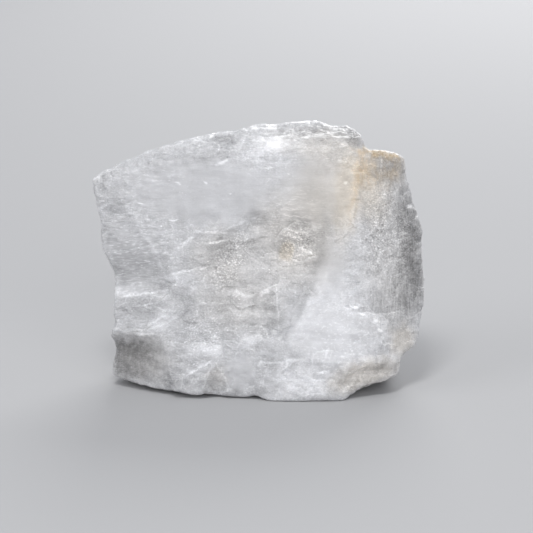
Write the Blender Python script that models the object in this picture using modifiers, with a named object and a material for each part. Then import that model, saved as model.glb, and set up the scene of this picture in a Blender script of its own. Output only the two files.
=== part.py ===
"""A cryolite specimen: one broken block of massive white mineral, standing on its own flat foot.

The block is worked lying on its back: x runs across its broad face, y up it and z straight out of it.
It is then stood up, leaning back, and its foot is cut flat on the surface that it stands on.
Blender 4.5, metres, +Z up.
"""

import math

import bmesh
import bpy
from mathutils import Euler, Matrix, Vector

MM = 0.001

# Driving dimensions, in millimetres and degrees.
LEAN_BACK = 16.0  # the broad face leans back this far from upright
FRONT_STOCK = 9.0  # how far the uncut stock stands in front of the rim
BOX_MIDDLE = (-0.58, 17.98)  # middle of the standing block's box, measured from the rim's lowest point
CUTTER = 160.0  # side of a cutting block, larger than the specimen
CLEAR_IN_FRONT = 14.0  # where a carved break opens, in front of the stock
CLEAR_BEHIND = -45.0  # where a carved break in the back opens
RIM_GROWTH = 1.012  # the rim is worked this much over size, for what the broken surface loses
VOXEL = 0.65  # grain of the broken surface
PARTING_STRETCH = (2.2, 1.0, 1.0)  # the terraces are drawn out across the face
TERRACE_SIZE, TERRACE_STEPS, TERRACE_HEIGHT = 7.0, 5, 0.6
LUMP_SIZE, LUMP_HEIGHT = 9.0, 1.1
CHIP_SIZE, CHIP_HEIGHT = 2.4, 0.4
DETAIL_KEPT = 0.165  # share of the broken surface's faces that stay

# The rim of the broad face, clockwise from its upper left corner: (across, up) in millimetres.
RIM = [
    (-34.6, 45.2), (-29.5, 47.4), (-24.9, 49.7), (-21.5, 50.6), (-19.0, 51.4), (-15.8, 52.5),
    (-10.7, 54.0), (-5.2, 54.8), (-1.5, 55.9), (3.1, 56.2), (6.8, 56.8), (10.9, 57.0),
    (12.8, 55.9), (14.6, 55.3), (16.9, 55.5), (18.9, 54.7), (20.2, 53.1), (20.2, 51.0),
    (21.0, 50.4), (23.3, 50.9), (25.6, 50.4), (28.3, 49.5), (28.5, 48.4), (28.6, 45.8),
    (29.8, 42.6), (31.4, 37.1), (32.5, 35.5), (32.2, 33.6), (32.2, 30.2), (33.6, 24.2),
    (32.6, 20.0), (31.4, 15.1), (31.2, 12.3), (29.3, 10.7), (27.4, 8.9), (27.8, 6.8),
    (26.5, 5.0), (23.3, 3.9), (20.5, 3.4), (18.2, 2.3), (16.4, 1.0), (15.3, 0.1),
    (13.7, -0.3), (9.5, 0.1), (3.5, 0.7), (1.2, 0.8), (-1.5, 1.8), (-3.3, 1.2),
    (-6.6, 1.3), (-11.6, 2.2), (-13.4, 1.9), (-16.7, 2.6), (-24.5, 3.5), (-27.2, 4.2),
    (-30.2, 4.9), (-30.8, 6.6), (-29.6, 9.5), (-29.4, 11.8), (-30.4, 13.6), (-29.3, 16.0),
    (-30.2, 18.0), (-29.1, 20.6), (-29.6, 26.6), (-30.7, 28.8), (-32.0, 31.1), (-32.5, 38.0),
    (-33.4, 41.2),
]  # fmt: skip
RIM_MIDDLE = (0.0, 27.0)

# How the body narrows behind the rim: (depth, share across, share up, shift across, shift up).
BACK_RINGS = [
    (-11.0, 1.0, 1.0, 0.0, 0.0),
    (-17.0, 0.96, 0.94, 0.6, -1.3),
    (-25.0, 0.88, 0.84, 1.2, -3.5),
    (-31.0, 0.74, 0.68, 1.0, -6.0),
]

# Flat breaks: name, a point on the break, and the way that it faces, in the worked frame.
FLAT_BREAKS = [
    ("upper_left_face", (-12, 36, -3.0), (-0.12, 0.035, 1)),
    ("upper_right_face", (9, 44, -0.5), (0.07, 0.03, 1)),
    ("lower_right_face", (15, 18, 1.9), (-0.03, 0.12, 1)),
    ("lower_face", (-4, 14, -0.8), (-0.07, -0.05, 1)),
    ("under_front", (8, 2.5, 0.6), (0.0, -0.75, 1)),
    ("sloping_top", (0, 50.6, -1.6), (-0.06, 1.20, 1)),
    ("top_left_bevel", (-22, 48.0, -4.8), (-0.35, 1.20, 1)),
    ("right_turned_face", (19.0, 30, 0.4), (0.74, 0.05, 1)),
    ("right_lower_turn", (27.0, 14, -2.6), (1.05, -0.35, 1)),
    ("back_upper", (-4, 40, -23.0), (-0.08, 0.40, -1)),
    ("back_lower", (6, 14, -29.5), (0.16, 0.08, -1)),
    ("back_left", (-27, 24, -19.0), (-0.95, 0.10, -1)),
    ("back_right", (26, 34, -19.0), (1.15, 0.30, -1)),
    ("back_top", (4, 57.6, -12.0), (0.10, 1.7, -1)),
]

# Carved breaks: name, the floor's outline, a point on the floor, how the floor rises to the right and
# upwards, and how far the sides flare out on their way to the open. Those with a point deeper than
# the middle depth open at the back.
MIDDLE_DEPTH = -13.0
CARVED_BREAKS = [
    (
        "left_recess",
        [(-36, 39.8), (-27.4, 39.0), (-25.2, 35.0), (-22.4, 31.4), (-19.6, 28.0), (-18.4, 24.0), (-36, 24.2)],
        (-26, 31, -6.0), (0.26, 0.07), 20.0,
    ),
    (
        "left_ledge",
        [(-36, 24.3), (-18.2, 24.1), (-19.2, 21.3), (-36, 21.4)],
        (-26, 24.2, -6.9), (0.10, -1.05), 0.0,
    ),
    (
        "lower_left_recess",
        [(-33, 13.2), (-22.4, 13.1), (-20.6, 14.0), (-19.4, 11.6), (-18.2, 5.0), (-16.8, -3), (-33, -3)],
        (-27, 10, -7.4), (0.48, 0.16), 4.0,
    ),
    (
        "leaf_hollow",
        [(-17.6, 23.6), (-15.4, 23.8), (-13.4, 21.4), (-12.8, 17.6), (-14.0, 15.4), (-15.4, 16.6), (-16.2, 20.4)],
        (-15, 19, -3.5), (0.22, 0.05), 9.0,
    ),
    (
        "middle_trough",
        [
            (-12.6, 33.0), (-10.0, 34.6), (-6.0, 34.2), (-1.6, 37.4), (2.8, 36.2), (4.0, 31.6), (7.0, 28.6),
            (10.8, 28.2), (10.0, 23.6), (7.4, 18.4), (5.6, 13.4), (1.0, 14.2), (-4.0, 12.0), (-9.0, 14.0),
            (-17.0, 19.0), (-16.0, 27.0),
        ],
        (-1, 26, -2.2), (0.06, -0.06), 26.0,
    ),
    (
        "trough_head",
        [(-2.4, 38.4), (3.0, 38.8), (10.8, 37.6), (11.8, 32.0), (10.2, 32.0), (9.6, 35.0), (2.8, 35.8)],
        (6, 36.6, -1.5), (0.05, 0.08), 20.0,
    ),
    (
        "trough_floor",
        [(-12.0, 29.0), (-6.0, 31.0), (0.0, 29.4), (3.0, 24.0), (0.6, 18.4), (-6.0, 19.4), (-11.0, 22.6)],
        (-4, 25, -2.9), (0.03, -0.03), 24.0,
    ),
    (
        "over_the_lumps",
        [(-15.4, 15.6), (-9.0, 16.2), (-4.0, 14.0), (-4.6, 11.6), (-10.0, 10.9), (-16.0, 11.6)],
        (-10, 13, -2.5), (0.05, -0.02), 14.0,
    ),
    (
        "low_facet",
        [(-8.0, 11.0), (-2.8, 11.4), (-2.4, -2.0), (-6.4, -2.0)],
        (-5, 6, -2.0), (0.16, 0.03), 6.0,
    ),
    (
        "dark_wedge",
        [(-12.8, -2.0), (-10.0, 7.0), (-8.6, 7.6), (-6.6, -2.0)],
        (-10, 4, -2.5), (0.05, 0.26), 9.0,
    ),
    (
        "lower_right_ledge",
        [(14.4, 3.0), (16.4, 5.6), (20, 7.2), (28.5, 9.2), (36, 9.6), (36, -6), (15.0, -6)],
        (22, 5, -2.4), (-0.30, 0.12), 8.0,
    ),
    (
        "right_step",
        [(19.0, 62), (19.2, 50), (19.6, 42), (20.4, 35.5), (44, 34), (44, 62)],
        (20, 44, -2.5), (-0.44, -0.10), 8.0,
    ),
    (
        "back_shelf",
        [(-36, 62), (-36, 33), (-14, 30), (-4, 36), (2, 62)],
        (-16, 38, -19.2), (0.12, 0.20), 6.0,
    ),
    (
        "back_corner",
        [(10, 30), (14, 12), (20, -8), (44, -8), (44, 32)],
        (22, 16, -23.4), (0.24, 0.02), 5.0,
    ),
    (
        "back_hollow",
        [(-12, 28), (3, 26), (7, 14), (-2, 8), (-16, 12)],
        (-5, 18, -27.6), (0.06, -0.05), 7.0,
    ),
]  # fmt: skip

# The stepped break low on the right: inner corner, size out from that corner, and turn about x, y and z
# in degrees.
STEPPED_BREAKS = [
    ("right_foot_step", (24.5, 30.0, -13.0), (24, -40, -30), (0, -12, 4)),
]


def clear_scene():
    for thing in list(bpy.data.objects):
        bpy.data.objects.remove(thing)


def new_collection(name):
    made = bpy.data.collections.new(name)
    bpy.context.scene.collection.children.link(made)
    return made


def relaxed(outline, rounds):
    """The outline with its small teeth worn away."""
    for _ in range(rounds):
        before = outline[-1:] + outline[:-1]
        after = outline[1:] + outline[:1]
        outline = [
            tuple((a + 2 * b + c) / 4 for a, b, c in zip(*near)) for near in zip(before, outline, after)
        ]
    return outline


def ring(outline, depth, across=1.0, up=1.0, shift_across=0.0, shift_up=0.0):
    """One section of the stock at this depth, narrowed about the rim's middle."""
    middle_x, middle_y = RIM_MIDDLE
    return [
        (middle_x + (x - middle_x) * across + shift_across, middle_y + (y - middle_y) * up + shift_up, depth)
        for x, y in outline
    ]


def closed_loft(name, rings):
    """A closed body through rings of equally many points, given in millimetres."""
    count = len(rings[0])
    shape = bmesh.new()
    levels = [[shape.verts.new(Vector(point) * MM) for point in section] for section in rings]
    shape.faces.new(levels[0])
    shape.faces.new(levels[-1])
    for lower, upper in zip(levels, levels[1:]):
        for i in range(count):
            j = (i + 1) % count
            shape.faces.new((lower[i], lower[j], upper[j], upper[i]))
    bmesh.ops.recalc_face_normals(shape, faces=shape.faces)
    mesh = bpy.data.meshes.new(name)
    shape.to_mesh(mesh)
    shape.free()
    return bpy.data.objects.new(name, mesh)


def stock(name):
    """The uncut block: the rim's outline carried forward, and back with a taper."""
    rings = [ring(RIM, depth, RIM_GROWTH, RIM_GROWTH) for depth in (FRONT_STOCK, 0.0)]
    for step, (depth, *narrowing) in enumerate(BACK_RINGS):
        rings.append(ring(relaxed(RIM, 4 * step), depth, *narrowing))
    return closed_loft(name, rings)


def as_cutter(made, place, collection):
    made.matrix_world = place
    made.hide_render = True
    made.display_type = "WIRE"
    for held in list(made.users_collection):
        held.objects.unlink(made)
    collection.objects.link(made)
    return made


def cutting_block(name, size, place, collection):
    """A box from its own origin to size, put at place, that a Boolean takes away."""
    bpy.ops.mesh.primitive_cube_add(size=1.0)
    made = bpy.context.object
    made.name = name
    made.data.transform(Matrix.Diagonal((*(Vector(size) * MM), 1.0)) @ Matrix.Translation((0.5, 0.5, 0.5)))
    if math.prod(size) < 0:
        made.data.flip_normals()
    return as_cutter(made, place, collection)


def flat_break(name, point, facing, standing, collection):
    """Takes away everything beyond a plane."""
    turned = Vector(facing).to_track_quat("Z", "Y").to_matrix().to_4x4()
    middle = Matrix.Translation(Vector((-CUTTER / 2, -CUTTER / 2, 0)) * MM)
    place = standing @ Matrix.Translation(Vector(point) * MM) @ turned @ middle
    return cutting_block(name, (CUTTER, CUTTER, CUTTER), place, collection)


def stepped_break(name, corner, size, turn, standing, collection):
    """Takes away a block with a sharp inner corner, which leaves a ledge."""
    turned = Euler([math.radians(a) for a in turn]).to_matrix().to_4x4()
    place = standing @ Matrix.Translation(Vector(corner) * MM) @ turned
    return cutting_block(name, size, place, collection)


def carved_break(name, outline, point, rise, flare, standing, collection):
    """Takes away what stands over a sloping floor with this outline."""
    depth = point[2]
    opening = CLEAR_IN_FRONT if depth > MIDDLE_DEPTH else CLEAR_BEHIND
    middle = sum((Vector(p) for p in outline), Vector((0, 0))) / len(outline)
    floor = [(x, y, depth + rise[0] * (x - point[0]) + rise[1] * (y - point[1])) for x, y in outline]
    mouth = [(*(Vector(p) + (Vector(p) - middle).normalized() * flare), opening) for p in outline]
    return as_cutter(closed_loft(name, [floor, mouth]), standing, collection)


def ragged_texture(name, grain, turbulence):
    texture = bpy.data.textures.new(name, "CLOUDS")
    texture.noise_scale = grain * MM
    texture.noise_depth = turbulence
    texture.noise_basis = "ORIGINAL_PERLIN"
    return texture


def stepped_texture(name, grain, steps):
    """Clouds cut into flat terraces, the way that the mineral parts."""
    texture = ragged_texture(name, grain, 2)
    texture.use_color_ramp = True
    ramp = texture.color_ramp
    ramp.interpolation = "CONSTANT"
    first, span = 0.28, 0.44  # the clouds' values lie mostly in this range
    for i in range(steps):
        place = first + span * i / steps
        stop = ramp.elements[i] if i < 2 else ramp.elements.new(place)
        stop.position = place
        stop.color = (i / (steps - 1),) * 3 + (1.0,)
    return texture


def roughen(block, name, texture, height, axes=None):
    made = block.modifiers.new(name, "DISPLACE")
    made.texture = texture
    made.strength = height * MM
    made.mid_level = 0.5
    if axes:
        made.texture_coords = "OBJECT"
        made.texture_coords_object = axes
    return made


def grain_axes(name, stretch, standing):
    """An empty whose scale draws a texture out along the mineral's parting directions."""
    made = bpy.data.objects.new(name, None)
    made.matrix_world = standing @ Matrix.Diagonal((*stretch, 1.0))
    return made


def mineral_material():
    material = bpy.data.materials.new("cryolite")
    material.use_nodes = True
    shader = material.node_tree.nodes["Principled BSDF"]
    shader.inputs["Base Color"].default_value = (0.72, 0.71, 0.70, 1.0)
    shader.inputs["Roughness"].default_value = 0.35
    shader.inputs["Metallic"].default_value = 0.0
    return material


def main():
    clear_scene()
    specimen = new_collection("cryolite_specimen")
    cutters = new_collection("cutters")
    cutters.hide_render = True

    shift = Matrix.Translation(Vector((-BOX_MIDDLE[0], -BOX_MIDDLE[1], 0)) * MM)
    standing = shift @ Matrix.Rotation(math.radians(90 - LEAN_BACK), 4, "X")

    block = stock("cryolite")
    block.matrix_world = standing
    specimen.objects.link(block)
    block.data.materials.append(mineral_material())

    for entry in FLAT_BREAKS:
        flat_break(*entry, standing, cutters)
    for entry in CARVED_BREAKS:
        carved_break(*entry, standing, cutters)
    for entry in STEPPED_BREAKS:
        stepped_break(*entry, standing, cutters)
    breaks = block.modifiers.new("breaks", "BOOLEAN")
    breaks.operand_type = "COLLECTION"
    breaks.collection = cutters
    breaks.operation = "DIFFERENCE"
    breaks.solver = "EXACT"

    grain = block.modifiers.new("grain", "REMESH")
    grain.mode = "VOXEL"
    grain.voxel_size = VOXEL * MM

    axes = grain_axes("parting_axes", PARTING_STRETCH, standing)
    specimen.objects.link(axes)
    roughen(block, "terraces", stepped_texture("terraces", TERRACE_SIZE, TERRACE_STEPS), TERRACE_HEIGHT, axes)
    roughen(block, "lumps", ragged_texture("lumps", LUMP_SIZE, 2), LUMP_HEIGHT)
    roughen(block, "chips", ragged_texture("chips", CHIP_SIZE, 1), CHIP_HEIGHT)

    fewer = block.modifiers.new("fewer_faces", "DECIMATE")
    fewer.ratio = DETAIL_KEPT

    floors = new_collection("floor_cutter")
    floors.hide_render = True
    floor = cutting_block(
        "floor_cutter",
        (CUTTER, CUTTER, -CUTTER),
        Matrix.Translation(Vector((-CUTTER / 2, -CUTTER / 2, 0)) * MM),
        floors,
    )
    foot = block.modifiers.new("foot", "BOOLEAN")
    foot.object = floor
    foot.operation = "DIFFERENCE"
    foot.solver = "EXACT"


main()
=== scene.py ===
"""The looks of a cryolite specimen: its broken surface, its milky stone, and the light that it stands in."""

import math

import bpy
from mathutils import Matrix, Vector


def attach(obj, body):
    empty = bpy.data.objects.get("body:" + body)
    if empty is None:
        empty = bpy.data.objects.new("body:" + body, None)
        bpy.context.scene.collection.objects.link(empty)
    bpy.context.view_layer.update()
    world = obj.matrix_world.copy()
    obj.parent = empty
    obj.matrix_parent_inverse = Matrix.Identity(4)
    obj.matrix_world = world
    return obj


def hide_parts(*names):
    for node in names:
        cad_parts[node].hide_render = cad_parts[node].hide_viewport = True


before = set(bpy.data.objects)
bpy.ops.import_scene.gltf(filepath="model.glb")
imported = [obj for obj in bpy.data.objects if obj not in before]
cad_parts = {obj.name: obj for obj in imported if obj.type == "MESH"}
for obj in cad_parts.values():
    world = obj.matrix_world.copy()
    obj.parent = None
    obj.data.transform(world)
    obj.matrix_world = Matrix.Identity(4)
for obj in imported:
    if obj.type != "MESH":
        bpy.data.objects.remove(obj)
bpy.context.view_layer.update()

# ------------------------------------------------------------------ the view
# The camera stands a little above the specimen and looks at its broad face square on, from far enough
# away that the face keeps its true proportions. The face leans back, and its own directions are across,
# up and out: every place on the face below is given along them, in millimetres from its lowest point.
MM = 0.001
LEAN_BACK = math.radians(16.0)
FACE_FOOT = Vector((0.58, -17.98, 0.0)) * MM
FACE_TURN = Matrix.Rotation(math.pi / 2 - LEAN_BACK, 4, "X")
FACE = Matrix.Translation(FACE_FOOT) @ FACE_TURN
VIEW_MIDDLE = Vector((0.9, 27.3, -1.5)) * MM
VIEW_WIDTH = 106.6 * MM
LENS = 200.0
SENSOR = 36.0

camera = bpy.data.objects.new("camera", bpy.data.cameras.new("camera"))
bpy.context.scene.collection.objects.link(camera)
bpy.context.scene.camera = camera
camera.data.lens = LENS
camera.data.sensor_width = SENSOR
camera.matrix_world = FACE @ Matrix.Translation(VIEW_MIDDLE + Vector((0, 0, VIEW_WIDTH * LENS / SENSOR)))
camera.data.clip_start = 0.01

# ------------------------------------------------------------------ the specimen
# One broken block of massive cryolite, a soft white mineral that parts nearly along a cube's faces. It
# starts as the solid itself, and its surface is then worked finer: small flat facets and steps where the
# stone tore, and nearly none where it parted cleanly.
MERGE_WITHIN = 0.001 * MM
GRAIN = 0.26 * MM  # how fine the worked surface is
MOST_FACES = 190_000
SHARP_EDGE = math.radians(20)  # flatter edges than this are shaded smooth

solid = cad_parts["cryolite"]
specimen = solid.copy()
specimen.data = solid.data.copy()
specimen.name = "cryolite_specimen"
specimen.data.name = "cryolite_specimen"
bpy.context.scene.collection.objects.link(specimen)


def work_on(thing):
    """Leaves everything else unselected and makes this the active object."""
    bpy.ops.object.select_all(action="DESELECT")
    thing.select_set(True)
    bpy.context.view_layer.objects.active = thing


def apply(thing, kind, **settings):
    """Adds a modifier, sets it and applies it."""
    work_on(thing)
    made = thing.modifiers.new(kind.lower(), kind)
    for name, value in settings.items():
        setattr(made, name, value)
    bpy.ops.object.modifier_apply(modifier=made.name)


work_on(specimen)
bpy.ops.object.mode_set(mode="EDIT")
bpy.ops.mesh.select_all(action="SELECT")
bpy.ops.mesh.remove_doubles(threshold=MERGE_WITHIN)
bpy.ops.object.mode_set(mode="OBJECT")
apply(specimen, "REMESH", mode="VOXEL", voxel_size=GRAIN)


class Value:
    """One socket in a tree of nodes. Arithmetic on it adds Math nodes to the tree."""

    def __init__(self, tree, socket):
        self.tree = tree
        self.socket = socket

    def node(self, kind, settings=(), values=(), out=0):
        """Adds any other node: first its settings, then the values or links of its sockets."""
        made = self.tree.nodes.new(kind)
        for name, value in dict(settings).items():
            setattr(made, name, value)
        for name, value in dict(values).items():
            if isinstance(value, Value):
                self.tree.links.new(value.socket, made.inputs[name])
            else:
                made.inputs[name].default_value = value
        return Value(self.tree, made.outputs[out])

    def math(self, operation, *terms):
        return self.node("ShaderNodeMath", {"operation": operation}, enumerate(terms))

    def vector(self, operation, *terms, out=0):
        return self.node("ShaderNodeVectorMath", {"operation": operation}, enumerate(terms), out)

    def __add__(self, other):
        return self.math("ADD", self, other)

    def __sub__(self, other):
        return self.math("SUBTRACT", self, other)

    def __rsub__(self, other):
        return self.math("SUBTRACT", other, self)

    def __mul__(self, other):
        return self.math("MULTIPLY", self, other)

    __radd__ = __add__
    __rmul__ = __mul__


def on_face(place):
    """The same places in millimetres across, up and out of the face."""
    turned = place.node(
        "ShaderNodeVectorRotate",
        {"rotation_type": "X_AXIS"},
        {"Vector": place, "Center": FACE_FOOT, "Angle": LEAN_BACK - math.pi / 2},
    )
    return turned.vector("MULTIPLY_ADD", turned, (1 / MM,) * 3, tuple(-FACE_FOOT / MM))


def noise(spot, grain, detail=3.0, out=0):
    """Clouds from 0 to 1 whose puffs have these lengths across, up and out."""
    drawn_out = spot.vector("DIVIDE", spot, grain)
    values = {"Vector": drawn_out, "Scale": 1.0, "Detail": detail}
    return spot.node("ShaderNodeTexNoise", {}, values, out)


def between(value, low, high, top=1.0):
    """0 below low, the top above high, and soft between them."""
    # The soft step needs no clamp, and with one in each patch the shader grows too large to render.
    settings = {"interpolation_type": "SMOOTHSTEP", "clamp": False}
    values = {"Value": value, "From Min": low, "From Max": high, "To Max": top}
    return value.node("ShaderNodeMapRange", settings, values)


def wandering(spot, reach, grain):
    """The same places pushed about, so that a border drawn on them is ragged."""
    push = noise(spot, grain, out=1)
    push = push.vector("SUBTRACT", push, (0.5, 0.5, 0.5))
    return push.vector("MULTIPLY_ADD", push, (2 * reach,) * 3, spot)


# Every patch of the face has its middle this far out of it, and reaches this far in and out from there.
PATCH_OUT = -3.0
PATCH_DEPTH = 16.0


def on_patch(spot, middle, size, turn):
    """Places measured from a patch's middle along its own axes, on which its rim is 1 away."""
    local = spot.vector("SUBTRACT", spot, (*middle, PATCH_OUT))
    if turn:
        local = local.node(
            "ShaderNodeVectorRotate",
            {"rotation_type": "Z_AXIS"},
            {"Vector": local, "Angle": -math.radians(turn)},
        )
    return local.vector("DIVIDE", local, (*size, PATCH_DEPTH))


def patch(spot, middle, size, turn, edge, amount=1.0):
    """This amount inside an oval patch of the face, fading to 0 outside it."""
    local = on_patch(spot, middle, size, turn)
    away = local.vector("LENGTH", local, out=1)
    return between(away, 1 + edge, 1 - edge, amount)


def total(spot, patches):
    """What the patches in a table add up to at each place."""
    return sum((patch(spot, *entry) for entry in patches[1:]), patch(spot, *patches[0]))


def either(*masks):
    """The larger of some masks."""
    joined = masks[0]
    for mask in masks[1:]:
        joined = joined.math("MAXIMUM", joined, mask)
    return joined


# Where the block parted smoothly. Every table of patches gives each one's middle (across, up), its half
# length and width, its turn in degrees, how soft its edge is, and its amount, which is 1 if left out.
SMOOTH = [
    ((-12, 42.5), (16, 6.5), -4, 0.3, 0.8),
    ((10, 42), (8, 7), 0, 0.4, 0.8),
    ((-24, 8.5), (6, 4.5), 0, 0.3, 0.8),
    ((-26.5, 29.5), (6.5, 7.5), 0, 0.4, 0.8),
    ((-4.5, 6), (3, 3.6), 0, 0.3, 0.8),
    ((13.5, 26), (3.2, 6), 5, 0.5, 0.8),
    ((13, 14), (8, 6), -20, 0.6, 0.8),
]


def torn(spot):
    """0.2 where the stone parted smoothly and 1 where it tore and is sugary."""
    return 1 - either(*(patch(spot, *entry) for entry in SMOOTH))


def facets(spot, grain, tilt, step):
    """The height of small flat facets, each tipped its own way and a little higher or lower."""
    local = spot.vector("DIVIDE", spot, grain)
    cells = {"Vector": local, "Scale": 1.0}
    middle = local.node("ShaderNodeTexVoronoi", {}, cells, out=2)
    lot = local.node("ShaderNodeTexVoronoi", {}, cells, out=1)
    lot = lot.vector("SUBTRACT", lot, (0.5, 0.5, 0.5))
    slope = lot.vector("DOT_PRODUCT", lot, local.vector("SUBTRACT", local, middle), out=1)
    level = lot.vector("DOT_PRODUCT", lot, (1.0, 0.6, 0.4), out=1)
    return slope * tilt + level * step


def rims(spot, grain, width):
    """1 along the rims of those facets, and 0 within them."""
    cells = {"Vector": spot.vector("DIVIDE", spot, grain), "Scale": 1.0}
    away = spot.node("ShaderNodeTexVoronoi", {"feature": "DISTANCE_TO_EDGE"}, cells)
    return between(away, width, 0.0)


def terraces(spot, grain, count, step):
    """The height of broad flat steps with crisp edges."""
    tread = 0.82  # the flat part of each step
    level = noise(spot, grain, 2.0) * count
    part = level.math("FRACT", level)
    return (level - part + between(part, tread, 1.0)) * step


def scar(spot, middle, size, turn, step):
    """The height of a flat flake scar: a crisp step at one end, running out to nothing at the other."""
    local = on_patch(spot, middle, size, turn)
    square = local.vector("MULTIPLY", local, local)
    fourth = square.vector("MULTIPLY", square, square)
    away = fourth.vector("DOT_PRODUCT", fourth, (1, 1, 0), out=1)
    along = local.node("ShaderNodeSeparateXYZ", {}, {0: local})
    return between(away, 1.35, 0.75) * (along * 0.5 + 0.5) * step


def fresh_tree(name):
    """A modifier's tree, with the surface that comes in."""
    tree = bpy.data.node_groups.new(name, "GeometryNodeTree")
    for way in ("INPUT", "OUTPUT"):
        tree.interface.new_socket("Geometry", in_out=way, socket_type="NodeSocketGeometry")
    return tree, Value(tree, tree.nodes.new("NodeGroupInput").outputs[0])


# Where the flakes came off: each scar's middle and half its length and width on the face, the way that
# its crisp end looks in degrees, and how far it stands in or out in millimetres.
SCARS = [
    ((-12, 44), (16, 13), -98, 0.35),
    ((-11, 33.8), (1.6, 3.0), -90, -0.25),
    ((-19.5, 31), (2.6, 1.3), -90, -0.15),
    ((-11.8, 51), (1.2, 3.4), 90, 0.3),
    ((1.2, 51.6), (3.0, 5.0), -95, -0.35),
    ((-15.5, 25.6), (1.6, 4.4), -80, -0.25),
    ((-11.2, 10.4), (1.4, 3.0), 85, 0.35),
    ((-24, 17.5), (2.6, 6.0), -80, -0.35),
    ((-19.0, 18.6), (3.4, 2.4), 30, 0.4),
    ((-9.2, 5.2), (3.4, 2.4), -60, -0.3),
    ((14.5, 16), (8, 9), 160, 0.35),
    ((7, 32), (3.6, 3.4), 130, 0.4),
    ((8.4, 30), (1.2, 2.4), -75, -0.25),
    ((2.2, 20), (4.2, 1.8), -10, -0.15),
    ((0.4, 22), (1.6, 1.6), -40, -0.2),
    ((-4, 27.5), (3.4, 5.5), -110, -0.2),
    ((-3, 13.6), (1.8, 4.6), 90, 0.2),
    ((21.8, 17), (1.6, 3.6), 60, 0.35),
    ((23, 20.4), (2.4, 6.0), -90, -0.4),
    ((26, 31), (5, 3.6), -60, -0.35),
    ((22.5, 40), (4.4, 3.6), -100, -0.3),
    ((12.6, 8.0), (2.4, 2.6), 110, 0.22),
    ((4, 5), (3.6, 6), 95, 0.3),
    ((-26, 33.4), (2.4, 5.4), -80, -0.2),
]

# Two sizes of facet, how far and how tightly their rims wind, and how far they tip and step.
BROAD_FACET = (4.2, 2.8, 3.4)
BROAD_BEND = (0.8, (3, 3, 3))
BROAD_RELIEF = (0.28, 0.10)
SMALL_FACET = (1.3, 0.9, 1.1)
SMALL_BEND = (0.3, (1, 1, 1))
SMALL_RELIEF = (0.16, 0.045)

# Low steps over the whole block: how long each is across, up and out, how many, and how high.
TERRACES = ((10, 2.6, 5), 6, 0.045)

# The solid's own edges are first worn soft by so many rounds of smoothing, fully within the face and
# hardly at its outline.
WEAR_ROUNDS = 24
WORN_AREA = ((-1.5, 27.5), (29, 22), 0, 0.25)
WORN_LEAST = 0.12

# What the relief comes to on average, in millimetres, and is taken off again. The foot stays flat: the
# relief comes in from nothing over this height.
MEAN_RELIEF = 0.05
FLAT_FOOT = 1.5 * MM

broken, skin = fresh_tree("broken_surface")
place = skin.node("GeometryNodeInputPosition")
spot = on_face(place)
inner = patch(spot, *WORN_AREA)
soft = {"Value": place, "Iterations": WEAR_ROUNDS, "Weight": inner * (1 - WORN_LEAST) + WORN_LEAST}
worn = skin.node("GeometryNodeBlurAttribute", {"data_type": "FLOAT_VECTOR"}, soft)
skin = skin.node("GeometryNodeSetPosition", {}, {"Geometry": skin, "Position": worn})
tear = torn(wandering(spot, 1.2, (3, 3, 3)))
height = tear * facets(wandering(spot, *BROAD_BEND), BROAD_FACET, *BROAD_RELIEF)
height = height + tear * facets(wandering(spot, *SMALL_BEND), SMALL_FACET, *SMALL_RELIEF)
height = height + terraces(spot, *TERRACES)
swells = (noise(spot, (7, 5, 6)) - 0.5) * 0.5
chips = (noise(spot, (1.5, 1.5, 1.5)) - 0.5) * (1 - inner) * 0.7
height = height + swells + chips
ragged = wandering(wandering(spot, 0.9, (3, 3, 3)), 0.25, (0.8, 0.8, 0.8))
for entry in SCARS:
    height = height + scar(ragged, *entry)
off_foot = skin.node("ShaderNodeSeparateXYZ", {}, {0: place}, out=2)
height = (height - MEAN_RELIEF) * between(off_foot, 0.0, FLAT_FOOT) * MM
normal = skin.node("GeometryNodeInputNormal")
push = normal.node("ShaderNodeVectorMath", {"operation": "SCALE"}, {0: normal, "Scale": height})
shaped = skin.node("GeometryNodeSetPosition", {}, {"Geometry": skin, "Offset": push})
broken.links.new(shaped.socket, broken.nodes.new("NodeGroupOutput").inputs[0])
apply(specimen, "NODES", node_group=broken)

faces = len(specimen.data.polygons) * 2
if faces > MOST_FACES:
    apply(specimen, "DECIMATE", ratio=MOST_FACES / faces)


def shader_of(name):
    """A new material, its shader, and the place that its patterns are laid out on."""
    material = bpy.data.materials.new(name)
    material.use_nodes = True
    tree = material.node_tree
    coords = tree.nodes.new("ShaderNodeTexCoord")
    return material, tree.nodes["Principled BSDF"], Value(tree, coords.outputs["Object"])


stone, surface, place = shader_of("cryolite")


def mixed(amount, under, over):
    """One colour laid over another."""
    return amount.node("ShaderNodeMix", {"data_type": "RGBA"}, {0: amount, 6: under, 7: over}, out=2)


def tinted(amount, under, tint):
    """A colour stained with another."""
    blend = {"data_type": "RGBA", "blend_type": "MULTIPLY"}
    return amount.node("ShaderNodeMix", blend, {0: amount, 6: under, 7: tint}, out=2)


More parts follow.
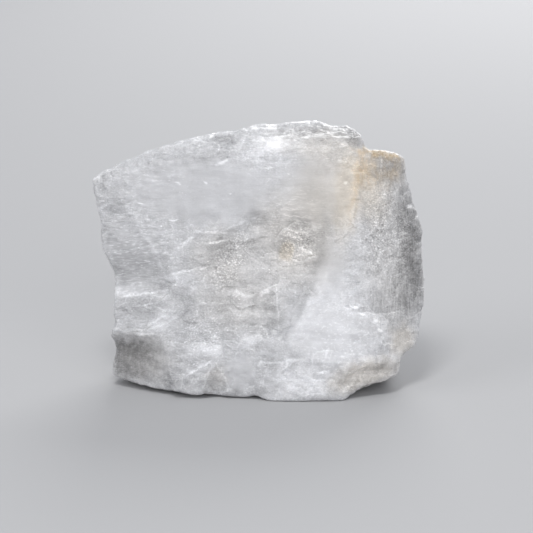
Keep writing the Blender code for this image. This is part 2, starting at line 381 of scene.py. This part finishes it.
# The tone of the stone, lower where it is clear and deep and higher where it is full of fine cracks. Some
# patches are painted light and shade, as marked below.
MIDDLE_TONE = 0.44
CLOUDS_AND_PAINTED_LIGHT = [
    # On the top bevel: painted highlight where it shines in the middle, and painted shade in bands beside
    # and above it.
    ((2.4, 52.0), (2.6, 1.5), -10, 0.9, 0.12),
    ((-0.6, 51.2), (4.6, 1.8), 12, 0.8, 0.11),
    ((4.6, 51.4), (3.4, 1.4), -8, 0.8, 0.07),
    ((12.5, 52.4), (5.5, 2.4), 0, 0.7, -0.08),
    ((-14, 50.8), (16, 2.6), 11, 0.6, -0.14),
    ((9, 55.5), (10, 2.0), 0, 0.6, -0.13),
    ((15.4, 15.4), (8.6, 8.8), -25, 0.35, 0.15),
    ((8.6, 4.2), (6.4, 2.8), 0, 0.5, 0.18),
    # Painted shade down the right edge, where the turned face looks away from the light.
    ((30.4, 32), (2.0, 9.5), 8, 0.6, -0.28),
    ((29.6, 22.6), (3.0, 5.0), 0, 0.6, -0.17),
    ((31.2, 35.4), (1.2, 3.0), 8, 0.5, -0.14),
    ((28.4, 29), (1.6, 3.2), 0, 0.7, -0.12),
    ((25.0, 27.2), (1.8, 1.6), 0, 0.7, 0.11),
    ((28.2, 38.8), (1.6, 2.0), 0, 0.7, -0.12),
    ((26.8, 43.4), (1.5, 1.8), 0, 0.7, -0.11),
    ((24.8, 14), (1.8, 1.8), 0, 0.7, 0.10),
    ((27.4, 10.8), (1.6, 2.0), 0, 0.7, 0.09),
    ((24.6, 20), (5, 2.0), 0, 0.8, -0.09),
    ((23, 26.6), (1.0, 1.2), 0, 0.5, -0.18),
    ((21.2, 43.2), (2.8, 3.0), 0, 0.8, 0.08),
    ((17.4, 43), (1.6, 1.8), 0, 0.7, -0.07),
    ((24.4, 47.4), (3.8, 2.8), 0, 0.6, -0.15),
    ((28.3, 47.0), (0.8, 2.2), 0, 0.6, -0.16),
    ((-23.8, 27.6), (5.6, 2.8), -5, 0.6, -0.10),
    ((-23, 22.8), (4.4, 1.2), 0, 0.6, -0.15),
    ((-31, 34), (1.8, 3.2), 0, 0.6, -0.10),
    ((-29, 30), (2.4, 1.8), 0, 0.7, -0.09),
    ((-24.2, 14.8), (2.6, 0.8), 0, 0.6, -0.09),
    ((-16.8, 6), (1.6, 1.6), 0, 0.7, -0.08),
    ((-32.8, 43), (1.4, 2.4), 0, 0.6, -0.10),
    ((-28.8, 25.4), (1.4, 2.6), 20, 0.6, -0.12),
    ((-31.4, 45.3), (2.2, 1.0), 20, 0.6, -0.10),
    ((-18, 22), (1.3, 1.4), 0, 0.6, -0.11),
    ((-25.6, 22.4), (3.8, 1.2), 4, 0.6, 0.12),
    ((-24.8, 19.4), (5.0, 2.4), 0, 0.6, -0.12),
    ((-20.4, 16.6), (1.6, 2.4), -30, 0.5, 0.12),
    # Painted shade in the recess low on the left.
    ((-27.0, 9.6), (5.6, 4.0), -6, 0.5, -0.28),
    # Painted light that lifts the ledge's shadow just under the recess's top edge.
    ((-25.8, 12.9), (3.8, 0.9), -6, 0.6, 0.29),
    # Painted shade along the foot.
    ((-21.5, 4.7), (6.8, 1.4), -8, 0.6, -0.18),
    ((-6.1, 2.3), (2.0, 1.2), 0, 0.6, -0.22),
    ((-13.4, 4.4), (1.9, 1.4), 0, 0.6, -0.13),
    ((0.6, 14), (3.0, 1.2), -20, 0.6, -0.12),
    ((6.8, 8), (2.0, 1.6), 0, 0.6, 0.12),
    ((3.2, 1.6), (2.4, 1.0), 0, 0.6, 0.12),
    ((-4.6, 9.4), (1.4, 4.0), 27, 0.7, 0.10),
    ((15.6, 10.8), (3.4, 1.2), -10, 0.7, -0.09),
    # Painted shade along the foot.
    ((14.6, 2.0), (1.8, 1.3), 0, 0.6, -0.13),
    ((-18.4, 8.5), (2.0, 4.5), 8, 0.8, -0.05),
    # More painted shade in the recess low on the left.
    ((-25.5, 11.0), (4.2, 1.8), 0, 0.6, -0.09),
    ((-28.6, 7.2), (2.4, 2.4), 0, 0.6, -0.06),
    ((-22.6, 9.0), (3.6, 4.6), 0, 0.6, -0.06),
    ((-16.4, 22), (1.4, 1.4), 20, 0.7, -0.10),
    ((-15.0, 18.6), (2.2, 3.4), 15, 0.6, -0.11),
    ((-18.6, 18.6), (1.8, 1.3), 30, 0.5, 0.03),
    ((-16.4, 25.4), (2.8, 0.8), 8, 0.6, 0.15),
    ((-11.2, 10.4), (2.6, 1.0), 5, 0.6, 0.22),
    ((-4.8, 21.8), (2.8, 0.8), -5, 0.6, 0.12),
    ((3, 21.8), (1.4, 1.6), 0, 0.6, 0.06),
    ((4, 27.2), (3.8, 1.4), -10, 0.7, 0.10),
    ((9.6, 18), (1.2, 2.6), -20, 0.7, -0.09),
    ((-5.8, 15.4), (2.2, 1.0), 0, 0.7, -0.09),
    ((7.4, 35.4), (2.0, 1.0), 0, 0.6, -0.08),
    ((2, 20.2), (1.4, 1.8), 10, 0.5, -0.14),
    ((2.2, 17.4), (2.4, 2.6), 0, 0.6, -0.14),
    ((-6, 18.8), (3.4, 1.0), 0, 0.6, -0.14),
    ((1.8, 9.4), (1.2, 1.6), 0, 0.5, -0.10),
    ((-2, 12.6), (2.8, 0.8), 4, 0.6, 0.14),
    ((-8, 30.6), (2.8, 2), 35, 0.5, -0.14),
    ((-9.6, 6.2), (0.9, 1.4), 0, 0.4, -0.07),
    ((-10.8, 3.6), (1.6, 1.6), 0, 0.4, -0.10),
    ((-8.2, 4.4), (1.5, 1.4), 0, 0.4, -0.06),
    ((7.8, 29.2), (3.0, 1.0), 0, 0.8, 0.19),
    ((-4.4, 28), (4.8, 2.2), -10, 0.6, 0.04),
    ((-4, 25), (7, 5), 0, 0.8, -0.05),
    ((6.6, 36.4), (2.6, 1), -12, 0.6, -0.18),
    ((4.6, 31.2), (1.2, 1.2), 0, 0.6, -0.05),
    ((13.6, 37.6), (2, 2), 0, 0.6, -0.08),
    ((9.2, 33.6), (2.4, 2.0), 0, 0.6, -0.12),
    ((12.4, 35.4), (1.6, 1.6), 0, 0.7, -0.10),
    ((3.0, 37.8), (2.4, 1.2), 0, 0.7, 0.10),
    ((-2.2, 26.4), (1.6, 1.4), 0, 0.7, 0.09),
    ((20.6, 14.6), (1.8, 2.2), 0, 0.7, -0.10),
    ((24.4, 16.8), (1.4, 1.2), 0, 0.7, -0.09),
    ((28.2, 16.2), (1.4, 1.4), 0, 0.7, -0.09),
    ((14.4, 23.4), (1.4, 1.6), 0, 0.7, -0.09),
    ((-14.6, 26), (1.6, 1.2), 0, 0.7, -0.08),
    ((-32, 39.6), (1.2, 2.0), 0, 0.7, 0.09),
    ((2.8, 10), (2.0, 1.2), 0, 0.7, 0.08),
    ((2.2, 24.8), (1.8, 1.2), 0, 0.7, 0.08),
    ((-2.2, 22.4), (2.0, 1.2), 0, 0.7, 0.08),
    ((-13.6, 50.6), (2.0, 1.0), 0, 0.7, 0.08),
    ((22, 48.4), (1.4, 1.4), 0, 0.7, 0.08),
    ((12, 21), (1.4, 1.6), 0, 0.7, -0.09),
    ((18.6, 21.4), (1.6, 1.2), 0, 0.7, -0.08),
    ((12.2, 31.4), (1.2, 3.0), 0, 0.7, -0.10),
    ((-1.4, 36), (2.0, 1.4), 20, 0.6, -0.09),
    ((-11.6, 33.2), (1.8, 1.3), 0, 0.6, 0.08),
    ((-11, 31.8), (1.4, 0.9), 0, 0.6, -0.08),
    ((-20, 32.2), (1.9, 1.2), 0, 0.7, -0.10),
    ((-27, 32), (6, 8), 0, 0.7, -0.05),
    ((-10.4, 37), (2.0, 1.2), 0, 0.7, -0.08),
    ((-30.6, 42.2), (1.8, 1.4), 0, 0.7, -0.09),
    ((-10.8, 18.2), (2.0, 1.2), 0, 0.6, -0.10),
    ((9.4, 41.4), (4.8, 2.4), -4, 0.7, -0.07),
    ((18.4, 40.2), (1.6, 4.6), 0, 0.7, 0.09),
    ((15.8, 35.6), (2.8, 3.0), 0, 0.7, 0.08),
    ((-14.4, 29.6), (1.6, 1.6), 0, 0.6, -0.08),
    ((-14.6, 37), (2.6, 1.4), 0, 0.7, -0.08),
    ((-10, 28.2), (1.6, 1.4), 0, 0.7, -0.08),
    ((-9.6, 8.6), (1.6, 1.2), 0, 0.6, 0.10),
    # Painted light that lifts the shade under the ledge low on the right.
    ((19.4, 6.4), (3.8, 1.2), 20, 0.6, 0.06),
    ((15.2, 46), (4, 5), 0, 0.8, 0.07),
    ((20.0, 48.2), (1.8, 2.4), 0, 0.7, 0.12),
    ((22, 28.4), (3, 3.4), 0, 0.8, 0.06),
    ((22.8, 24.3), (2.4, 1.8), 0, 0.6, 0.18),
    ((17.2, 54.3), (2.2, 1.4), -20, 0.6, -0.16),
    ((10.8, 50.2), (3.2, 1.2), 0, 0.7, 0.10),
    ((-3.2, 51.8), (2.4, 1.2), 30, 0.7, 0.03),
    ((-8.2, 53.2), (2.2, 0.9), 10, 0.7, -0.12),
    ((7.8, 52.6), (2.0, 1.0), 0, 0.7, 0.09),
    # More painted highlight where the top bevel shines.
    ((5.2, 55.4), (2.0, 0.8), 0, 0.7, 0.08),
    ((0, 54.7), (2.4, 0.8), 0, 0.6, 0.09),
    ((2.4, 49.6), (2.8, 0.8), 0, 0.7, 0.08),
    ((-16.6, 51.3), (6.5, 1.2), 12, 0.6, 0.08),
    ((23.6, 8.4), (4.2, 1.4), 16, 0.6, 0.08),
    ((19.8, 7.9), (2.6, 1.0), 10, 0.6, 0.12),
    ((20.0, 12.0), (2.0, 3.0), 0, 0.7, -0.07),
    ((23, 7.2), (1.4, 0.7), 20, 0.6, -0.17),
    ((-29.8, 39.6), (2.4, 2), 0, 0.6, -0.07),
    ((18.4, 53), (1.5, 1.3), 0, 0.5, -0.18),
    ((8.6, 22), (1.4, 4), -20, 0.6, -0.07),
    ((7.8, 19.4), (4.4, 0.8), 65, 0.6, -0.06),
    ((9.8, 18.5), (4.4, 0.9), 65, 0.6, 0.06),
    ((10.8, 29), (1.0, 2.6), -10, 0.7, -0.10),
]

# Bright cracks and chipped rims, seen as fine white lines, and flecks. The short bright ones marked below
# are painted glints.
CRACKS_AND_GLINTS = [
    ((-24.5, 35.2), (4.7, 0.60), -58, 0.9, 0.11),
    ((-16.0, 31.4), (3.2, 0.30), 38, 0.7, 0.10),
    ((-19.6, 32.1), (2.6, 0.20), 4, 0.6, 0.10),
    ((-19.4, 29.9), (2.4, 0.20), -6, 0.6, 0.10),
    ((-15.2, 32.4), (2.2, 0.22), 34, 0.6, 0.14),
    # Painted glints.
    ((-10.4, 34.2), (3.0, 0.28), -3, 0.6, 0.26),
    ((-9.2, 32.2), (1.6, 0.22), 10, 0.6, 0.30),
    ((-3.8, 36.2), (4.0, 0.22), 22, 0.6, 0.12),
    ((-14.0, 26.6), (4.4, 0.22), 12, 0.6, 0.22),
    ((3.1, 19.2), (4.5, 0.20), 94, 0.6, 0.14),
    ((8.8, 18.8), (4.6, 0.34), 65, 0.9, 0.06),
    ((24.0, 47.8), (0.22, 1.8), 0, 0.6, 0.24),
    ((-20.2, 27.6), (4.0, 0.50), -63, 0.9, 0.09),
    # Painted glints along the bright chain low on the right.
    ((17.3, 18.9), (0.7, 0.24), -20, 0.6, 0.30),
    ((20.4, 17.7), (1.1, 0.30), -12, 0.6, 0.32),
    ((22.9, 16.3), (0.6, 0.80), 20, 0.6, 0.34),
    ((-12.6, 7.0), (3.2, 0.24), 31, 0.6, 0.22),
    ((-8.0, 5.8), (3.0, 0.20), -60, 0.6, 0.14),
    ((-11.0, 5.2), (2.3, 0.16), 70, 0.6, 0.14),
    ((-18.8, 8.6), (4.0, 0.20), -80, 0.6, 0.05),
    ((-24.2, 21.8), (4.6, 0.25), 8, 0.6, 0.14),
    ((-24.8, 19.4), (3.6, 0.20), 12, 0.6, 0.12),
    ((-21.6, 16.2), (3.4, 0.24), 35, 0.6, 0.16),
    ((-25.6, 13.8), (3.8, 0.26), -2, 0.6, 0.18),
    # Painted glints.
    ((8.6, 30.5), (1.0, 0.20), -30, 0.6, 0.34),
    ((7.6, 29.5), (0.9, 0.16), 4, 0.6, 0.26),
    ((9.8, 29.9), (0.5, 0.18), -50, 0.6, 0.30),
    ((7.4, 34.2), (2.2, 0.22), -12, 0.6, 0.16),
    ((5.4, 38.7), (2.2, 0.14), -3, 0.6, 0.15),
    ((6.6, 37.3), (2.4, 0.15), -10, 0.6, 0.17),
    ((3.8, 39.7), (1.4, 0.12), 0, 0.6, 0.12),
    ((8.2, 36.2), (1.6, 0.14), -14, 0.6, 0.16),
    ((6.8, 33.2), (2.0, 0.18), -16, 0.6, 0.18),
    ((-23.4, 45.6), (0.5, 0.16), 0, 0.6, 0.22),
    ((-16.8, 44.0), (0.6, 0.15), -15, 0.6, 0.19),
    ((-11.4, 44.0), (0.4, 0.15), -25, 0.6, 0.21),
    ((-6.4, 41.8), (0.3, 0.17), 0, 0.6, 0.25),
    ((-24.4, 40.0), (0.8, 0.17), 3, 0.6, 0.26),
    ((-17.8, 36.6), (0.9, 0.15), 5, 0.6, 0.26),
    ((-8.0, 48.2), (1.1, 0.34), 24, 0.8, 0.22),
    # A painted glint.
    ((29.8, 39.2), (0.7, 0.60), 0, 0.6, 0.40),
    ((13.0, 10.2), (1.0, 0.35), 70, 0.6, 0.14),
    ((12.0, 6.2), (1.0, 0.30), 0, 0.6, 0.30),
    # Painted glints.
    ((0.6, 22.2), (1.2, 0.45), 40, 0.6, 0.24),
    ((18.4, 19.2), (1.0, 0.25), -20, 0.6, 0.35),
    ((23.6, 14.6), (0.7, 0.30), -20, 0.6, 0.24),
]

# Where it is a little yellow, and where iron has stained the seam and the ledge on the right.
WARM = [
    ((7.6, 33.6), (8.4, 9), 0, 0.6, 0.45),
    ((14.2, 45), (6.5, 7.5), 0, 0.7, 0.50),
    ((17.2, 44.6), (2.4, 6.6), -8, 0.8, 0.55),
    ((16.6, 36.6), (2.0, 4.0), 0, 0.7, 0.35),
    ((21.6, 41.6), (3.2, 4.8), 0, 0.9, 0.60),
    ((27, 30), (6, 16), 0, 0.6, 0.22),
    ((-25, 9), (6, 4.6), 0, 0.6, 0.25),
    ((5.0, 30.6), (1.3, 1.6), 0, 0.6, 0.80),
    ((20.6, 5.6), (7, 2.8), 15, 0.5, 0.60),
    ((28.4, 12.4), (2.4, 3.0), 0, 0.6, 0.55),
    ((-8, 29.6), (6, 5), 0, 0.6, 0.25),
    ((-9, 5), (2, 2.4), 0, 0.6, 0.25),
    ((-4.4, 20.6), (8, 6), 0, 0.6, 0.22),
    ((9.6, 52.6), (8, 3), 0, 0.6, 0.20),
]
RUST = [
    ((24.0, 50.0), (4.6, 0.8), -10, 0.8, 0.55),
    ((24.0, 46.8), (4.4, 3.4), -8, 0.7, 0.34),
    ((21.0, 45.2), (1.7, 2.4), 0, 0.8, 0.14),
    ((26.8, 47.4), (1.4, 2.6), 0, 0.8, 0.20),
    ((20.6, 48.6), (1.6, 2.0), 0, 0.8, 0.20),
    ((18.9, 44.8), (0.8, 5.2), -11, 0.8, 0.27),
    ((18.0, 39.0), (1.2, 3.4), 0, 0.9, 0.10),
]

# Where it is streaked, where it is sugary, and where it is curdled low down and on the left.
STREAKED = [
    ((-26, 30), (7, 14), 0, 0.4),
    ((0, 49.5), (30, 2.6), 3, 0.5, 0.5),
    ((6, 37), (7, 4), 0, 0.5, 0.9),
]
SUGARED = [
    ((-6.2, 28.2), (2.8, 6.6), -30, 0.5),
    ((24.6, 34), (5, 9), 0, 0.8),
    ((7, 32), (3.8, 3.6), 0, 0.5),
    ((-12, 14), (5, 4), 0, 0.5, 0.7),
]
CURDLED = [
    ((3, 11), (24, 11), 0, 0.6),
    ((-27, 31), (6, 11), 0, 0.6, 0.7),
]

# Where fine white wisps lie along the parting, and where scratches stand upright.
WISPS = [
    ((-26, 31), (6.5, 9), 0, 0.6, 0.20),
    ((-22, 45.5), (6, 2.6), 0, 0.7, 0.12),
    ((6, 39.5), (6, 4), 0, 0.7, 0.12),
]
SCRATCHES = [
    ((25, 20.6), (7, 3.8), 0, 0.5, 0.22),
    ((-24, 8.6), (7, 5), 0, 0.4, 0.12),
]

# How far into the block its guessed back begins, and where it is fully the back.
BACK_BEGINS = -9.0
BACK_ENDS = -17.0

# The stone's two ends of tone, and what the yellow and the iron stain them with.
DARKEST = (0.17, 0.17, 0.172, 1)
LIGHTEST = (0.93, 0.93, 0.95, 1)
YELLOWED = (1.0, 0.93, 0.82, 1)
IRON = (1.0, 0.77, 0.46, 1)

spot = on_face(place)
ragged = wandering(spot, 1.5, (2.6, 2.6, 2.6))
tear = torn(ragged)

# Streaks lie along the parting, and stand upright on the turned face at the right.
upright = patch(ragged, (29, 25), (9, 40), 0, 0.8)
lying = noise(spot, (2.2, 0.26, 0.6), 4) - 0.5
standing = noise(spot, (0.28, 2.6, 0.8), 4) - 0.5
streaks = lying * (1 - upright) + standing * upright * 0.8
streaky = either(*(patch(ragged, *entry) for entry in STREAKED), upright)
sugar = noise(spot, (0.36, 0.30, 0.34), 2)
sugary = either(*(patch(ragged, *entry) for entry in SUGARED), tear * 0.3)

# Broad clouds lie all through it, finer ones where it tore, and the widest at the back.
cloudy = noise(spot, (9, 7, 8), 3) - 0.5
curdled = noise(spot, (2.8, 2.2, 2.6), 4) - 0.5
bands = patch(ragged, (-8, 41), (22, 9), 0, 0.6) * (noise(spot, (1.6, 12, 6), 2) - 0.5)
out_of_face = spot.node("ShaderNodeSeparateXYZ", {}, {0: spot}, out=2)
behind = between(out_of_face, BACK_BEGINS, BACK_ENDS)
milky = (noise(spot, (15, 10, 12), 3) - 0.42) * behind
light = MIDDLE_TONE + cloudy * 0.22 + curdled * (tear * 0.26 + total(ragged, CURDLED) * 0.22)
light = light + bands * 0.08 + milky * 0.8
light = light + total(ragged, CLOUDS_AND_PAINTED_LIGHT)
cracks_and_glints = total(wandering(spot, 0.5, (1.4, 1.4, 1.4)), CRACKS_AND_GLINTS)
light = light + cracks_and_glints * (0.3 + between(noise(spot, (1.0, 0.7, 0.9), 2), 0.35, 0.60))
light = light + streaks * (0.06 + tear * 0.06 + streaky * 0.30)
light = light + (between(sugar, 0.54, 0.66) * 0.34 - between(sugar, 0.46, 0.34) * 0.16) * sugary

# Wisps and specks of white lie in it, and flecks of white are painted glints.
glint_flecks = between(noise(spot, (0.7, 0.32, 0.5), 1), 0.69, 0.75)
light = light + glint_flecks * between(noise(spot, (5, 4, 5), 2), 0.42, 0.60) * (tear * 0.26 + 0.06)
wisps = between(noise(spot, (1.2, 0.30, 0.6), 1), 0.56, 0.70)
light = light + wisps * total(ragged, WISPS)
specks = between(noise(spot, (0.65, 0.5, 0.6), 2), 0.54, 0.68)
light = light + specks * patch(ragged, (17, 13), (9, 10), 0, 0.6, 0.14)

# Where it tore it is frosted, and coarser on the turned face, with upright scratches below.
frost = noise(spot, (0.46, 0.24, 0.3), 2) - 0.5
coarse = noise(spot, (0.9, 0.9, 0.9), 3) - 0.5
turned = patch(ragged, (25.5, 34), (6, 10), 0, 0.6)
grainy = turned * between(noise(spot, (4, 6, 5), 2), 0.34, 0.62)
light = light + frost * (tear + turned) * 0.22 + coarse * (turned * 0.16 + grainy * 0.46)
light = light + (coarse + frost) * patch(ragged, (-24, 8.6), (7, 5), 0, 0.5, 0.24)
light = light + standing * total(ragged, SCRATCHES)

# The rims of the facets are bruised, and carry a painted highlight where they stand free.
bruised_and_lit = between(noise(spot, (3.4, 2.2, 3), 2), 0.48, 0.62) * tear
broad_rims = rims(wandering(spot, *BROAD_BEND), BROAD_FACET, 0.05)
small_rims = rims(wandering(spot, *SMALL_BEND), SMALL_FACET, 0.10)
light = light + bruised_and_lit * (broad_rims * 0.10 + small_rims * 0.05)

# The tone becomes a colour, which is then yellowed in places, also at the back, and stained by the iron.
colour = mixed(light, DARKEST, LIGHTEST)
warm_behind = between(noise(spot, (8, 8, 8), 2), 0.52, 0.70) * behind * 0.5
colour = tinted(total(ragged, WARM) + warm_behind, colour, YELLOWED)
blotchy = 0.4 + between(noise(spot, (0.9, 1.8, 1.2), 3), 0.25, 0.65) * 0.6
colour = tinted(total(ragged, RUST) * blotchy, colour, IRON)

# The finest facets and grain are too small for the mesh, so they only bend the light.
fine = facets(wandering(spot, 0.2, (0.5, 0.5, 0.5)), (0.55, 0.35, 0.45), 0.10, 0.02) * tear
height = fine + streaks * 0.03 * (0.3 + streaky) + sugar * sugary * 0.04 + frost * tear * 0.03
bump = height.node("ShaderNodeBump", {}, {"Strength": 0.8, "Distance": MM, "Height": height})
gloss = 0.33 + (noise(spot, (2.2, 1.2, 1.6), 3) - 0.5) * 0.3 - tear * 0.08

# Cryolite has a very low index. Light goes a few millimetres into it and comes out again.
surface.inputs["IOR"].default_value = 1.34
surface.inputs["Subsurface Weight"].default_value = 1.0
surface.inputs["Subsurface Radius"].default_value = (1.0, 0.98, 0.95)
surface.inputs["Subsurface Scale"].default_value = 2.8 * MM
surface.inputs["Sheen Weight"].default_value = 0.12
stone.node_tree.links.new(colour.socket, surface.inputs["Base Color"])
stone.node_tree.links.new(gloss.socket, surface.inputs["Roughness"])
stone.node_tree.links.new(bump.socket, surface.inputs["Normal"])

specimen.data.materials.clear()
specimen.data.materials.append(stone)
work_on(specimen)
bpy.ops.object.shade_smooth_by_angle(angle=SHARP_EDGE)

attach(specimen, "root")
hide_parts("cryolite")

# ------------------------------------------------------------------ the table and the light
# A plain pale table in a softly lit room. A small lamp high in front skims the leaning face, larger and
# dimmer ones fill in from the right and the left, and a large one lights the back.
FLOOR = 3.0
FLOOR_COLOUR = (0.36, 0.36, 0.365, 1)
ROOM_COLOUR = (0.9, 0.93, 1.0, 1)
ROOM_STRENGTH = 0.50
LIT_MIDDLE = Vector((0, 0, 30)) * MM

bpy.ops.object.select_all(action="DESELECT")
bpy.ops.mesh.primitive_plane_add(size=FLOOR)
table = bpy.context.object
table.name = "table"
matt, matt_surface, _ = shader_of("table")
matt_surface.inputs["Base Color"].default_value = FLOOR_COLOUR
matt_surface.inputs["Roughness"].default_value = 0.9
table.data.materials.append(matt)


def lamp(name, place, size, power):
    """A square soft white lamp that faces the specimen, with its size in metres and its power in watts."""
    made = bpy.data.objects.new(name, bpy.data.lights.new(name, "AREA"))
    made.data.size = size
    made.data.energy = power
    made.location = place
    made.rotation_euler = (LIT_MIDDLE - Vector(place)).to_track_quat("-Z", "Y").to_euler()
    bpy.context.scene.collection.objects.link(made)


lamp("overhead_lamp", (-0.07, -0.25, 0.57), 0.16, 1.8)
lamp("front_lamp", (0.20, -0.60, 0.25), 0.50, 2.0)
lamp("side_lamp", (-0.50, -0.20, 0.30), 0.30, 0.9)
lamp("back_lamp", (0.15, 0.50, 0.34), 0.40, 2.8)

world = bpy.data.worlds.new("room")
bpy.context.scene.world = world
world.use_nodes = True
world.node_tree.nodes["Background"].inputs["Color"].default_value = ROOM_COLOUR
world.node_tree.nodes["Background"].inputs["Strength"].default_value = ROOM_STRENGTH
bpy.context.scene.view_settings.view_transform = "Standard"
